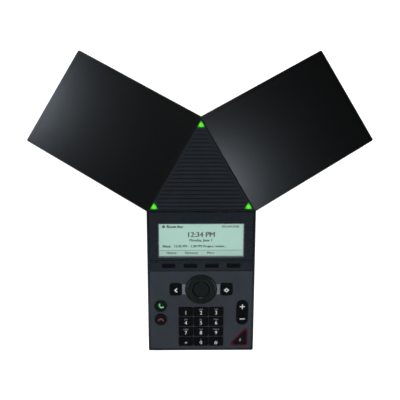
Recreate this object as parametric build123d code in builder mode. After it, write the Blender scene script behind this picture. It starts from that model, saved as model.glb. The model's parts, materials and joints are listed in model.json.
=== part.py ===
from build123d import *
import os
from math import atan, cos, hypot, radians, sin, sqrt

# Three-armed conference speakerphone. Millimetres. +Z is up, Z = 0 is the table.
# The control arm points toward -Y, the two plain wings point to the rear left and right.

# ---------------------------------------------------------------- driving dimensions
HUB_SIDE = 98.0            # side of the triangle in the middle
ARM_WIDTH = 99.3           # each arm at its top edges
ARM_LENGTH = 133.7         # arm, hub edge to tip, measured level
HUB_TOP = 66.0             # height of the triangle
TIP_TOP = 27.8             # height of the top edge at each tip
BASE_Z = 3.0               # underside of the housing above the table
WALL = 2.5                 # moulded wall
SIDE_DRAFT = 0.15          # side walls lean in by this much per mm of height
EDGE_CHAMFER = 0.45        # broken edge around the top
TIP_RADIUS = 2.0           # upright corners at the tips
PART_DROP = 12.0           # parting line below the top surface
PART_GAP = 0.4             # shadow gap between the two shells
LIP_HEIGHT = 3.0           # locating lip of the lower shell

HUB_Y = 19.35              # centre of the triangle in Y
HUB_INRADIUS = HUB_SIDE / (2 * sqrt(3))
SLOPE = (HUB_TOP - TIP_TOP) / ARM_LENGTH
THETA = atan(SLOPE)
ARM_ANGLES = (-90.0, 30.0, 150.0)

# control panel, measured down the slope from the hub edge
FACE_DEPTH = 0.25          # face plates sit this much below the rim
SEAT_DEPTH = 2.5           # ledge that carries the face plates
LEDGE_DEPTH = 4.0          # underside of that ledge
PANEL_HALF = 47.4          # half width of the face plates
PANEL_OPENING = 45.0       # half width of the opening under them
PANEL_END = 136.8
CAP_GAP = 0.3              # slit around every key cap
CAP_PROUD = 0.9            # key caps stand this far above the rim surface
SOFT_PROUD = 0.5
CAP_FILLET = 0.35
FLANGE_TOP = 2.9           # key flange below the rim surface
FLANGE_END = 3.7
STEM_END = 4.4
STEM_RADIUS = 1.8
MAT_TOP = 5.4              # silicone key mat
MAT_END = 6.2
BOARD_END = 7.8            # underside of the keypad board

DIAL_X = (-14.2, 0.0, 14.2)
DIAL_S = (99.0, 109.16, 119.32, 129.48)
DIAL_SIZE = (13.1, 8.8)
SOFT_X = (-29.85, -9.95, 9.95, 29.85)
SOFT_S = 53.1
SOFT_SIZE = (12.0, 3.5)
NAV_S = 76.6
NAV_RADIUS = 14.1
NAV_HOLE = 14.6
NAV_INNER = 8.0
NAV_WALL = 0.85
NAV_ROOF = 0.4             # underside of the ring's top
NAV_FLANGE = 15.1
NAV_FLANGE_TOP = 3.6
SELECT_RADIUS = 7.4
PIVOT_INNER = 9.5          # washer that the ring rocks on, two ridges above and two below
PIVOT_OUTER = 12.6
PIVOT_TOP = 3.4            # also the depth of the up-down tilt axis
PIVOT_END = 4.2            # also the depth of the left-right tilt axis
RIDGE_RADIUS = 0.8
SIDE_KEY_X = 23.65
SIDE_KEY_S = 76.45
SIDE_KEY_SIZE = (10.7, 11.9)
CALL_X = -37.8
CALL_S = 93.1
HANGUP_S = 106.8
CALL_RADIUS = 5.6
VOLUME_X = 38.7
VOLUME_S = 100.0
VOLUME_SIZE = (10.2, 24.0)
VOLUME_FLANGE_TOP = 3.5
VOLUME_FLANGE_END = 4.3    # also the depth of the rocking axis
MUTE_TRIANGLE = ((44.1, 113.3), (25.7, 134.3), (44.1, 134.3))
MUTE_RADIUS = 2.0          # corners of the light ring around the mute key
MUTE_RING = 1.2            # width of that ring
WINDOW_HALF = 38.6         # visible part of the display
WINDOW_START = 13.1
WINDOW_END = 44.2
BOARD_POSTS = ((-38.0, 64.0), (38.0, 64.0), (-27.0, 96.0), (27.0, 96.0), (-29.0, 130.0), (24.6, 122.0))

# grille, its seat and the indicators in the hub
HUB_CORNERS = (90, 210, 330)
GRILLE_Z = 63.0
GRILLE_TOP = 65.8
GRILLE_INSET = 1.15
SEAT_INSET = 0.6
SEAT_BREAK = 0.4           # broken edge around the seat
RIB_PITCH = 3.6
RIB_COUNT = 22
GROOVE_WIDTH = 1.8
GROOVE_DEPTH = 0.45
SLOT_WIDTH = 0.4
WEB_WIDTH = 1.4            # webs tie the ribs together at the bottom of the slots
WEB_HEIGHT = 1.0
WEB_PITCH = 8.0
LED_SIDE = 7.0
LED_SET_BACK = 7.14        # centre of an indicator from its corner of the hub
PIPE_RADIUS = 1.6

# speaker, on the hub axis
SPEAKER_TOP = 60.9
SPEAKER_HOLE = 25.0
CUP_RADIUS = 29.0
CUP_BOTTOM = 31.0

# connector bay under the hub, measured from the hub axis
BAY_HALF = 22.0
BAY_FRONT = -2.0
BAY_REAR = 36.0
BAY_TOP = 27.0
CHANNEL_HALF = 6.0
CHANNEL_TOP = 13.0
JACK_X = -7.0
USB_X = 12.0
MAIN_BOARD_Z = 9.0
BOARD_THICKNESS = 1.6

WING_SCREW_D = 108.0
FRONT_SCREW_D = 72.0
HUB_SCREW_D = 16.0
WING_SCREW_LATERAL = 39.5
FRONT_SCREW_LATERAL = 36.0
FOOT_D = 115.0
MIC_Z = 12.0

os.makedirs("parts", exist_ok=True)


# ---------------------------------------------------------------- helpers
def save(builder, name):
    """Name a finished piece and write it."""
    builder.part.label = name
    export_step(builder.part, f"parts/{name}.step")


def arm_point(angle, along, across):
    """Point on an arm: along from the hub edge toward the tip, across to its left."""
    a = radians(angle)
    r = HUB_INRADIUS + along
    return (r * cos(a) - across * sin(a), HUB_Y + r * sin(a) + across * cos(a))


def top_height(along):
    """Height of the arm's top surface."""
    return HUB_TOP - SLOPE * along


def section_plane(angle, along, height=0.0):
    """Upright plane across an arm, facing its tip."""
    a = radians(angle)
    x, y = arm_point(angle, along, 0)
    return Plane(origin=(x, y, height), x_dir=(-sin(a), cos(a), 0), z_dir=(cos(a), sin(a), 0))


def profile_plane(angle):
    """Upright plane along an arm, X from the hub edge to the tip, Y up."""
    a = radians(angle)
    x, y = arm_point(angle, 0, 0)
    return Plane(origin=(x, y, 0), x_dir=(cos(a), sin(a), 0), z_dir=(sin(a), -cos(a), 0))


def panel(depth):
    """Plane of the control panel, sunk by depth. Local -Y runs down the slope."""
    origin = (0, HUB_Y - HUB_INRADIUS + depth * sin(THETA), HUB_TOP - depth * cos(THETA))
    return Plane(origin=origin, x_dir=(1, 0, 0), z_dir=(0, -sin(THETA), cos(THETA)))


def panel_rect(half_width, start, end, mode=Mode.ADD):
    """Rectangle on the panel from start to end down the slope."""
    with Locations((0, -(start + end) / 2)):
        Rectangle(2 * half_width, end - start, mode=mode)


def hub_triangle(inset, mode=Mode.ADD):
    """The hub triangle, apex to the rear, shrunk by inset."""
    r = 2 * (HUB_INRADIUS - inset)
    points = [(r * cos(radians(a)), HUB_Y + r * sin(radians(a))) for a in HUB_CORNERS]
    Polygon(*points, align=None, mode=mode)


def led_centre(angle):
    """Centre of the indicator in one corner of the hub."""
    r = 2 * HUB_INRADIUS - LED_SET_BACK
    return (r * cos(radians(angle)), HUB_Y + r * sin(radians(angle)))


def led_triangle(angle, side, mode=Mode.ADD):
    """Small triangle in one corner of the hub, all three point to the rear."""
    cx, cy = led_centre(angle)
    r = side / sqrt(3)
    points = [(cx + r * cos(radians(a)), cy + r * sin(radians(a))) for a in HUB_CORNERS]
    Polygon(*points, align=None, mode=mode)


def inset_triangle(points, amount):
    """Corners of a triangle moved in by amount from each side."""
    (ax, ay), (bx, by), (cx, cy) = points
    a = hypot(bx - cx, by - cy)
    b = hypot(ax - cx, ay - cy)
    c = hypot(ax - bx, ay - by)
    ix = (a * ax + b * bx + c * cx) / (a + b + c)
    iy = (a * ay + b * by + c * cy) / (a + b + c)
    area = abs((bx - ax) * (cy - ay) - (cx - ax) * (by - ay)) / 2
    scale = 1 - amount / (2 * area / (a + b + c))
    return [(ix + (px - ix) * scale, iy + (py - iy) * scale) for px, py in points]


def mute_outline(inset, radius, mode=Mode.ADD):
    """Rounded triangle of the mute key on the panel."""
    points = inset_triangle(MUTE_TRIANGLE, inset)
    with BuildSketch(mode=Mode.PRIVATE) as outline:
        Polygon(*[(x, -s) for x, s in points], align=None)
        fillet(outline.vertices(), radius)
    add(outline.sketch, mode=mode)


def y_form(inset, drop, draft=SIDE_DRAFT, floor=BASE_Z, rounded=False):
    """Three sloping arms around the hub, walls moved in by inset and top lowered by drop."""
    half = ARM_WIDTH / 2 - inset
    back = HUB_INRADIUS + 5
    high = HUB_TOP + SLOPE * back
    low = floor - 2
    tip_z = HUB_TOP - drop - SLOPE * (ARM_LENGTH - inset) + SLOPE * draft * TIP_TOP
    tip_z = tip_z / (1 + SLOPE * draft)
    tip_x = ARM_LENGTH - inset - draft * (TIP_TOP - tip_z)
    foot_x = ARM_LENGTH - inset - draft * (TIP_TOP - floor)
    with BuildPart() as form:
        for angle in ARM_ANGLES:
            narrow = half - draft * (high - low)
            with BuildSketch(section_plane(angle, -back)):
                Polygon((-half, high), (-narrow, low), (narrow, low), (half, high), align=None)
            a = radians(angle)
            extrude(amount=190, dir=(cos(a), sin(a), -SLOPE))
        for angle in ARM_ANGLES:
            top = HUB_TOP - drop
            with BuildSketch(profile_plane(angle)):
                Polygon((-300, top), (0, top), (tip_x, tip_z), (foot_x, floor), (-300, floor), align=None)
            extrude(amount=300, both=True, mode=Mode.INTERSECT)
        if rounded:
            corners = [e for e in form.edges() if abs((e @ 0).Z - (e @ 1).Z) > 0.9 * e.length]
            corners = [e for e in corners if hypot(e.center().X, e.center().Y - HUB_Y) > 100]
            fillet(corners, TIP_RADIUS)
    return form.part


SCREWS = [(-90.0, FRONT_SCREW_D, side * FRONT_SCREW_LATERAL) for side in (-1, 1)]
SCREWS += [(angle, WING_SCREW_D, side * WING_SCREW_LATERAL) for angle in (30.0, 150.0) for side in (-1, 1)]
SCREWS += [(angle, HUB_SCREW_D, 0.0) for angle in (30.0, 150.0)]
MAIN_POSTS = ((-26.0, -20.0), (26.0, -20.0), (-26.0, -98.0), (26.0, -98.0))

# ---------------------------------------------------------------- shared outer form
with BuildPart() as outer_form:
    add(y_form(0, 0, rounded=True))
    add(y_form(EDGE_CHAMFER, 0, draft=-1.0), mode=Mode.INTERSECT)

# space inside the upper shell, less the thick rim around the grille and the control panel
with BuildPart() as upper_space:
    add(y_form(WALL, WALL / cos(THETA)))
    with BuildSketch(Plane.XY.offset(SPEAKER_TOP)):
        hub_triangle(-4.0)
    extrude(amount=10, mode=Mode.SUBTRACT)
    with BuildSketch(panel(LEDGE_DEPTH)):
        panel_rect(60, -6, 145)
    extrude(amount=10, mode=Mode.SUBTRACT)

# ---------------------------------------------------------------- upper shell
with BuildPart() as upper_housing:
    add(outer_form.part)
    add(y_form(-1, PART_DROP, floor=0), mode=Mode.SUBTRACT)
    add(upper_space.part, mode=Mode.SUBTRACT)
    add(y_form(1.4, PART_DROP - LIP_HEIGHT - 0.3), mode=Mode.SUBTRACT)
    # screw posts, tied to the side walls above the locating lip
    for angle, along, across in SCREWS:
        low = top_height(along) - PART_DROP - 0.8
        high = top_height(along) - 1.6
        with BuildSketch(Plane.XY.offset(low)):
            with Locations(arm_point(angle, along, across)):
                Circle(3.2)
        extrude(amount=high - low)
        if across:
            inner = abs(across) + 2.0
            outer = ARM_WIDTH / 2 - WALL + 0.1
            with BuildSketch(section_plane(angle, along - 0.8)):
                with Locations(((abs(across) / across) * (inner + outer) / 2, high - 3.2)):
                    Rectangle(outer - inner, 5.4)
            extrude(amount=1.6)
        with BuildSketch(Plane.XY.offset(low - 1)):
            with Locations(arm_point(angle, along, across)):
                Circle(1.5)
        extrude(amount=high - low - 1.2, mode=Mode.SUBTRACT)
    # seat of the grille, sound hole and light-pipe holes
    with BuildSketch(Plane.XY.offset(GRILLE_Z)):
        hub_triangle(SEAT_INSET)
    extrude(amount=5, mode=Mode.SUBTRACT)
    with BuildSketch(Plane.XY.offset(HUB_TOP - SEAT_BREAK)):
        hub_triangle(SEAT_INSET)
    with BuildSketch(Plane.XY.offset(HUB_TOP + SEAT_BREAK)):
        hub_triangle(SEAT_INSET - 1.0)
    loft(ruled=True, mode=Mode.SUBTRACT)
    with BuildSketch(Plane.XY.offset(50)):
        with Locations((0, HUB_Y)):
            Circle(SPEAKER_HOLE)
    extrude(amount=14, mode=Mode.SUBTRACT)
    with BuildSketch(Plane.XY.offset(60)):
        with Locations(*[led_centre(a) for a in HUB_CORNERS]):
            Circle(PIPE_RADIUS + 0.2)
    extrude(amount=4, mode=Mode.SUBTRACT)
    # posts that carry the indicator boards
    for a in HUB_CORNERS:
        cx, cy = led_centre(a)
        with BuildSketch(Plane.XY.offset(58.7)):
            with Locations((cx - 3.4 * sin(radians(a)), cy + 3.4 * cos(radians(a)))):
                Circle(1.0)
            with Locations((cx + 3.4 * sin(radians(a)), cy - 3.4 * cos(radians(a)))):
                Circle(1.0)
        extrude(amount=2.6)
    # seat and opening of the control panel
    with BuildSketch(panel(SEAT_DEPTH)):
        panel_rect(PANEL_HALF + 0.3, 1.2, PANEL_END + 0.3)
    extrude(amount=6, mode=Mode.SUBTRACT)
    with BuildSketch(panel(LEDGE_DEPTH + 0.2)):
        panel_rect(PANEL_OPENING, 3.2, PANEL_END)
    extrude(amount=6, mode=Mode.SUBTRACT)
save(upper_housing, "upper_housing")

# ---------------------------------------------------------------- lower shell
with BuildPart() as bay_block:
    with BuildSketch(Plane.XY.offset(BASE_Z)):
        with Locations((0, HUB_Y + (BAY_FRONT + BAY_REAR) / 2)):
            Rectangle(2 * BAY_HALF + 4, BAY_REAR - BAY_FRONT + 4)
    extrude(amount=BAY_TOP + 2 - BASE_Z)
    with BuildSketch(Plane.XY.offset(BASE_Z)):
        with Locations((0, HUB_Y + 48)):
            Rectangle(2 * CHANNEL_HALF + 4, 24)
    extrude(amount=CHANNEL_TOP + 2 - BASE_Z)
    add(outer_form.part, mode=Mode.INTERSECT)

with BuildPart() as lower_housing:
    add(outer_form.part)
    add(y_form(-1, PART_DROP + PART_GAP, floor=0), mode=Mode.INTERSECT)
    add(y_form(1.6, PART_DROP - LIP_HEIGHT))
    add(y_form(WALL, -5, floor=BASE_Z + WALL), mode=Mode.SUBTRACT)
    # connector bay with its cable channel to the notch between the wings
    add(bay_block.part)
    with BuildSketch(Plane.XY.offset(BASE_Z - 1)):
        with Locations((0, HUB_Y + (BAY_FRONT + BAY_REAR) / 2)):
            RectangleRounded(2 * BAY_HALF, BAY_REAR - BAY_FRONT, 2)
    extrude(amount=BAY_TOP - BASE_Z + 1, mode=Mode.SUBTRACT)
    with BuildSketch(Plane.XY.offset(BASE_Z - 1)):
        with Locations((0, HUB_Y + 50)):
            Rectangle(2 * CHANNEL_HALF, 32)
    extrude(amount=CHANNEL_TOP - BASE_Z + 1, mode=Mode.SUBTRACT)
    with BuildSketch(Plane.XZ.offset(-(HUB_Y + BAY_FRONT - 3))):
        with Locations((JACK_X, MAIN_BOARD_Z + BOARD_THICKNESS + 6.75)):
            Rectangle(16.4, 13.9)
        with Locations((USB_X, MAIN_BOARD_Z + BOARD_THICKNESS + 1.6)):
            Rectangle(8.4, 3.6)
    extrude(amount=-4, mode=Mode.SUBTRACT)
    # rests for the speaker cup
    with BuildSketch(Plane.XY.offset(BAY_TOP + 2)):
        with Locations((0, HUB_Y + 18), (-16, HUB_Y + 2), (16, HUB_Y + 2)):
            Circle(2.2)
    extrude(amount=CUP_BOTTOM - BAY_TOP - 2)
    # screw posts with counterbores from below
    for angle, along, across in SCREWS:
        top = top_height(along) - PART_DROP - 1.0
        with BuildSketch(Plane.XY.offset(BASE_Z)):
            with Locations(arm_point(angle, along, across)):
                Circle(4.2)
        extrude(amount=top - BASE_Z)
        with BuildSketch(Plane.XY.offset(BASE_Z - 1)):
            with Locations(arm_point(angle, along, across)):
                Circle(3.1)
        extrude(amount=6, mode=Mode.SUBTRACT)
        with BuildSketch(Plane.XY.offset(BASE_Z)):
            with Locations(arm_point(angle, along, across)):
                Circle(1.7)
        extrude(amount=top, mode=Mode.SUBTRACT)
    # stand-offs of the main board
    with BuildSketch(Plane.XY.offset(BASE_Z)):
        with Locations(*[(x, HUB_Y + y) for x, y in MAIN_POSTS]):
            Circle(3.0)
    extrude(amount=MAIN_BOARD_Z - BASE_Z)
    with BuildSketch(Plane.XY.offset(BASE_Z + 1.5)):
        with Locations(*[(x, HUB_Y + y) for x, y in MAIN_POSTS]):
            Circle(1.05)
    extrude(amount=6, mode=Mode.SUBTRACT)
    # microphone cradles and sound ports in the tips
    for angle in ARM_ANGLES:
        with BuildSketch(section_plane(angle, 122.0)):
            with Locations((0, (BASE_Z + MIC_Z) / 2)):
                Rectangle(11.0, MIC_Z - BASE_Z)
            with Locations((0, MIC_Z)):
                Circle(4.0, mode=Mode.SUBTRACT)
        extrude(amount=4.0)
        with BuildSketch(section_plane(angle, 127.0)):
            with Locations((-2.0, MIC_Z), (0, MIC_Z), (2.0, MIC_Z)):
                Circle(0.6)
        extrude(amount=8, mode=Mode.SUBTRACT)
        # seat of the rubber foot
        with BuildSketch(section_plane(angle, FOOT_D - 7.1)):
            with Locations((0, BASE_Z - 0.5)):
                Rectangle(64.2, 3.0)
        extrude(amount=14.2, mode=Mode.SUBTRACT)
    # shallow seat of the rating label
    with BuildSketch(Plane.XY.offset(BASE_Z - 1)):
        with Locations(arm_point(-90, 55, 0)):
            Rectangle(60.4, 36.4)
    extrude(amount=1.3, mode=Mode.SUBTRACT)
save(lower_housing, "lower_housing")

# ---------------------------------------------------------------- feet, label, screws
with BuildPart() as rubber_feet:
    for angle in ARM_ANGLES:
        with BuildSketch(section_plane(angle, FOOT_D - 7.0)):
            with Locations((0, 2.0)):
                Rectangle(64.0, 4.0)
        extrude(amount=14.0)
    bottoms = rubber_feet.faces().filter_by(Plane.XY).group_by(Axis.Z)[0]
    chamfer([e for f in bottoms for e in f.edges()], 0.6)
save(rubber_feet, "rubber_feet")

with BuildPart() as rating_label:
    with BuildSketch(Plane.XY.offset(BASE_Z + 0.1)):
        with Locations(arm_point(-90, 55, 0)):
            RectangleRounded(60.0, 36.0, 1.5)
    extrude(amount=0.2)
save(rating_label, "rating_label")


def screw(plane, shank, length, head, head_height):
    """Pan-head screw, head above the plane and shank below it, with a cross recess."""
    with BuildPart() as piece:
        with BuildSketch(plane):
            Circle(head)
        extrude(amount=head_height)
        with BuildSketch(plane):
            Circle(shank)
        extrude(amount=-length)
        with BuildSketch(plane.offset(head_height)):
            Rectangle(head * 1.3, head * 0.32)
            Rectangle(head * 0.32, head * 1.3)
        extrude(amount=-head_height * 0.6, mode=Mode.SUBTRACT)
    return piece.part


with BuildPart() as housing_screws:
    for angle, along, across in SCREWS:
        x, y = arm_point(angle, along, across)
        length = top_height(along) - PART_DROP - BASE_Z - 5 + 5.5
        seat = Plane(origin=(x, y, BASE_Z + 5), x_dir=(1, 0, 0), z_dir=(0, 0, -1))
        add(screw(seat, 1.45, length, 2.7, 1.8))
save(housing_screws, "housing_screws")

with BuildPart() as pcb_screws:
    for x, y in MAIN_POSTS:
        seat = Plane(origin=(x, HUB_Y + y, MAIN_BOARD_Z + BOARD_THICKNESS), x_dir=(1, 0, 0), z_dir=(0, 0, 1))
        add(screw(seat, 1.0, 4.5, 2.0, 1.2))
    for x, s in BOARD_POSTS:
        seat = panel(BOARD_END)
        origin = seat.from_local_coords(Vector(x, -s, 0))
        add(screw(Plane(origin=origin, x_dir=(1, 0, 0), z_dir=-seat.z_dir), 1.0, 4.5, 2.0, 1.2))
save(pcb_screws, "pcb_screws")

# ---------------------------------------------------------------- speaker grille and indicators
ROWS = [HUB_Y - HUB_INRADIUS + 3.9 + RIB_PITCH * i for i in range(RIB_COUNT)]
with BuildPart() as speaker_grille:
    with BuildSketch(Plane.XY.offset(GRILLE_Z)):
        hub_triangle(GRILLE_INSET)
    extrude(amount=GRILLE_TOP - GRILLE_Z)
    with BuildSketch(Plane.XY.offset(GRILLE_TOP - GROOVE_DEPTH)):
        with Locations(*[(0, y) for y in ROWS]):
            Rectangle(HUB_SIDE, GROOVE_WIDTH)
        hub_triangle(GRILLE_INSET + 1.0, mode=Mode.INTERSECT)
        for a in HUB_CORNERS:
            led_triangle(a, LED_SIDE + 4.5, mode=Mode.SUBTRACT)
    extrude(amount=2, mode=Mode.SUBTRACT)
    # sound slots in all grooves, open between the webs
    with BuildSketch(Plane.XY.offset(GRILLE_Z + WEB_HEIGHT)):
        with Locations(*[(0, y) for y in ROWS]):
            Rectangle(HUB_SIDE, SLOT_WIDTH)
        hub_triangle(GRILLE_INSET + 2.0, mode=Mode.INTERSECT)
        for a in HUB_CORNERS:
            led_triangle(a, LED_SIDE + 7.0, mode=Mode.SUBTRACT)
    extrude(amount=3, mode=Mode.SUBTRACT)
    with BuildSketch(Plane.XY.offset(GRILLE_Z - 1)):
        with Locations(*[(0, y) for y in ROWS if abs(y - HUB_Y) < SPEAKER_HOLE - 2]):
            Rectangle(HUB_SIDE, SLOT_WIDTH)
        with Locations((0, HUB_Y)):
            Circle(SPEAKER_HOLE - 1.5, mode=Mode.INTERSECT)
        with Locations(*[(WEB_PITCH * i, HUB_Y) for i in (-2, -1, 0, 1, 2)]):
            Rectangle(WEB_WIDTH, 2 * SPEAKER_HOLE, mode=Mode.SUBTRACT)
    extrude(amount=3, mode=Mode.SUBTRACT)
    with BuildSketch(Plane.XY.offset(GRILLE_Z - 1)):
        for a in HUB_CORNERS:
            led_triangle(a, LED_SIDE + 0.2)
    extrude(amount=5, mode=Mode.SUBTRACT)
save(speaker_grille, "speaker_grille")


def led_window(name, a):
    """Triangular indicator window with a round light pipe under it."""
    with BuildPart() as window:
        with BuildSketch(Plane.XY.offset(GRILLE_Z)):
            led_triangle(a, LED_SIDE)
        extrude(amount=GRILLE_TOP + 0.1 - GRILLE_Z)
        with BuildSketch(Plane.XY.offset(GRILLE_Z)):
            with Locations(led_centre(a)):
                Circle(PIPE_RADIUS)
        extrude(amount=-3.2)
    save(window, name)


led_window("led_window_rear", 90)
led_window("led_window_left", 210)
led_window("led_window_right", 330)

with BuildPart() as led_boards:
    for a in HUB_CORNERS:
        sideways = (-sin(radians(a)), cos(radians(a)), 0)
        seat = Plane(origin=(*led_centre(a), 57.5), x_dir=sideways, z_dir=(0, 0, 1))
        with BuildSketch(seat):
            with Locations((0, 0.6)):
                Rectangle(10.0, 6.0)
        extrude(amount=1.2)
        with BuildSketch(seat.offset(1.2)):
            Rectangle(2.0, 2.0)
        extrude(amount=0.8)
save(led_boards, "led_boards")

# ---------------------------------------------------------------- speaker
with BuildPart() as speaker_enclosure:
    with BuildSketch(Plane.XY.offset(CUP_BOTTOM)):
        with Locations((0, HUB_Y)):
            Circle(CUP_RADIUS)
    extrude(amount=SPEAKER_TOP - 2.7 - CUP_BOTTOM)
    with BuildSketch(Plane.XY.offset(CUP_BOTTOM + 2)):
        with Locations((0, HUB_Y)):
            Circle(CUP_RADIUS - 2)
    extrude(amount=40, mode=Mode.SUBTRACT)
save(speaker_enclosure, "speaker_enclosure")


def speaker_ring(points):
    """Solid of revolution about the speaker axis from radius and height pairs."""
    with BuildPart() as ring:
        with BuildSketch(Plane(origin=(0, HUB_Y, 0), x_dir=(1, 0, 0), z_dir=(0, -1, 0))):
            Polygon(*points, align=None)
        revolve(axis=Axis((0, HUB_Y, 0), (0, 0, 1)), revolution_arc=360)
    return ring.part


with BuildPart() as speaker_basket:
    add(speaker_ring([(23.0, 58.2), (29.0, 58.2), (29.0, 59.7), (22.0, 59.7), (22.0, 57.6), (14.6, 46.0),
                      (8.5, 46.0), (8.5, 44.8), (15.6, 44.8)]))
    for i in range(6):
        spoke = Plane(origin=(0, HUB_Y, 51.0), x_dir=(1, 0, 0), z_dir=(0, 0, 1)).rotated((0, 0, 60 * i))
        with BuildSketch(spoke):
            with Locations((18.6, 0)):
                Rectangle(5.0, 11.0)
        extrude(amount=3, both=True, mode=Mode.SUBTRACT)
save(speaker_basket, "speaker_basket")

with BuildPart() as speaker_magnet:
    add(speaker_ring([(0, 36.0), (15.0, 36.0), (15.0, 38.0), (16.5, 38.0), (16.5, 43.0), (15.0, 43.0),
                      (15.0, 44.7), (7.6, 44.7), (7.6, 38.6), (6.0, 38.6), (6.0, 45.4), (0, 45.4)]))
save(speaker_magnet, "speaker_magnet")

with BuildPart() as speaker_cone:
    add(speaker_ring([(19.0, 57.6), (19.6, 57.2), (7.2, 49.4), (7.2, 41.0), (6.6, 41.0), (6.6, 50.2)]))
save(speaker_cone, "speaker_cone")

with BuildPart() as dust_cap:
    add(speaker_ring([(0, 54.2), (3.6, 53.4), (6.3, 51.2), (6.3, 50.7), (5.9, 50.7), (3.3, 52.8), (0, 53.6)]))
save(dust_cap, "dust_cap")

with BuildPart() as speaker_surround:
    add(speaker_ring([(19.2, 57.8), (20.0, 59.2), (20.9, 59.2), (21.8, 57.9), (21.8, 59.4), (21.1, 59.9),
                      (19.8, 59.9), (18.9, 58.4), (18.6, 57.9)]))
save(speaker_surround, "speaker_surround")

with BuildPart() as speaker_gasket:
    add(speaker_ring([(25.3, 59.75), (28.8, 59.75), (28.8, 60.85), (25.3, 60.85)]))
save(speaker_gasket, "speaker_gasket")

# ---------------------------------------------------------------- microphones
with BuildPart() as mic_boots:
    for angle in ARM_ANGLES:
        with BuildSketch(section_plane(angle, 120.8)):
            with Locations((0, MIC_Z)):
                Circle(3.95)
        extrude(amount=6.4)
        with BuildSketch(section_plane(angle, 120.3)):
            with Locations((0, MIC_Z)):
                Circle(3.05)
        extrude(amount=5.6, mode=Mode.SUBTRACT)
        with BuildSketch(section_plane(angle, 125.3)):
            with Locations((0, MIC_Z)):
                Circle(2.4)
        extrude(amount=3, mode=Mode.SUBTRACT)
save(mic_boots, "mic_boots")

with BuildPart() as mic_capsules:
    for angle in ARM_ANGLES:
        with BuildSketch(section_plane(angle, 121.9)):
            with Locations((0, MIC_Z)):
                Circle(3.0)
        extrude(amount=3.9)
        with BuildSketch(section_plane(angle, 120.5)):
            with Locations((-1.2, MIC_Z), (1.2, MIC_Z)):
                Circle(0.35)
        extrude(amount=1.6)
save(mic_capsules, "mic_capsules")

# ---------------------------------------------------------------- main board and connectors
BOARD_TOP = MAIN_BOARD_Z + BOARD_THICKNESS
with BuildPart() as main_pcb:
    with BuildSketch(Plane.XY.offset(MAIN_BOARD_Z)):
        with Locations((0, HUB_Y - 56.5)):
            Rectangle(60.0, 103.0)
        with Locations(*[(x, HUB_Y + y) for x, y in MAIN_POSTS]):
            Circle(1.3, mode=Mode.SUBTRACT)
    extrude(amount=BOARD_THICKNESS)
    # ribbon socket and a row of large components
    with BuildSketch(Plane.XY.offset(BOARD_TOP)):
        with Locations((0, HUB_Y - 80.0)):
            Rectangle(18.0, 4.5)
        with Locations((-18, HUB_Y - 34), (-6, HUB_Y - 34)):
            Rectangle(8.0, 6.0)
        with Locations((18, HUB_Y - 38)):
            Rectangle(9.0, 9.0)
    extrude(amount=2.4)
    with BuildSketch(Plane.XY.offset(BOARD_TOP)):
        with Locations((22, HUB_Y - 52), (22, HUB_Y - 63)):
            Circle(4.0)
    extrude(amount=9.0)
save(main_pcb, "main_pcb")

with BuildPart() as shield_cans:
    with BuildSketch(Plane.XY.offset(BOARD_TOP)):
        with Locations((-10, HUB_Y - 56)):
            RectangleRounded(24.0, 20.0, 1.0)
        with Locations((-12, HUB_Y - 98)):
            RectangleRounded(18.0, 14.0, 1.0)
    extrude(amount=2.8)
    with BuildSketch(Plane.XY.offset(BOARD_TOP - 1)):
        with Locations((-10, HUB_Y - 56)):
            Rectangle(23.4, 19.4)
        with Locations((-12, HUB_Y - 98)):
            Rectangle(17.4, 13.4)
    extrude(amount=3.5, mode=Mode.SUBTRACT)
save(shield_cans, "shield_cans")

JACK_FACE = HUB_Y + BAY_FRONT - 0.4
with BuildPart() as ethernet_jack:
    with BuildSketch(Plane.XZ.offset(-JACK_FACE)):
        with Locations((JACK_X, BOARD_TOP + 6.75)):
            Rectangle(16.0, 13.5)
    extrude(amount=21.0)
    with BuildSketch(Plane.XZ.offset(-JACK_FACE)):
        with Locations((JACK_X, BOARD_TOP + 5.6)):
            Rectangle(11.8, 8.2)
        with Locations((JACK_X, BOARD_TOP + 10.9)):
            Rectangle(6.2, 2.8)
    extrude(amount=14.0, mode=Mode.SUBTRACT)
    # eight sprung contacts at the back of the socket
    for i in range(8):
        with BuildSketch(Plane.YZ.offset(JACK_X - 3.75 + 1.02 * i)):
            with Locations((0, 0)):
                Polygon((JACK_FACE - 14.2, BOARD_TOP + 1.6), (JACK_FACE - 5.0, BOARD_TOP + 1.4),
                        (JACK_FACE - 14.2, BOARD_TOP + 3.6), align=None)
        extrude(amount=0.35)
save(ethernet_jack, "ethernet_jack")

with BuildPart() as usb_port:
    with BuildSketch(Plane.XZ.offset(-JACK_FACE)):
        with Locations((USB_X, BOARD_TOP + 1.55)):
            RectangleRounded(8.0, 3.0, 0.8)
            RectangleRounded(7.0, 2.0, 0.5, mode=Mode.SUBTRACT)
    extrude(amount=5.5)
    with BuildSketch(Plane.XZ.offset(-(JACK_FACE - 4.5))):
        with Locations((USB_X, BOARD_TOP + 1.55)):
            RectangleRounded(7.4, 2.4, 0.5)
    extrude(amount=1.0)
    with BuildSketch(Plane.XZ.offset(-(JACK_FACE - 0.8))):
        with Locations((USB_X, BOARD_TOP + 1.8)):
            Rectangle(4.2, 0.6)
    extrude(amount=4.0)
save(usb_port, "usb_port")

# ---------------------------------------------------------------- display
with BuildPart() as display_bezel:
    with BuildSketch(panel(SEAT_DEPTH)):
        panel_rect(PANEL_HALF, 1.5, 47.4)
        panel_rect(WINDOW_HALF, WINDOW_START, WINDOW_END, mode=Mode.SUBTRACT)
    extrude(amount=SEAT_DEPTH - FACE_DEPTH)
    with BuildSketch(panel(1.5)):
        panel_rect(WINDOW_HALF + 0.9, WINDOW_START - 0.9, WINDOW_END + 0.9)
    extrude(amount=3, mode=Mode.SUBTRACT)
save(display_bezel, "display_bezel")

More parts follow.
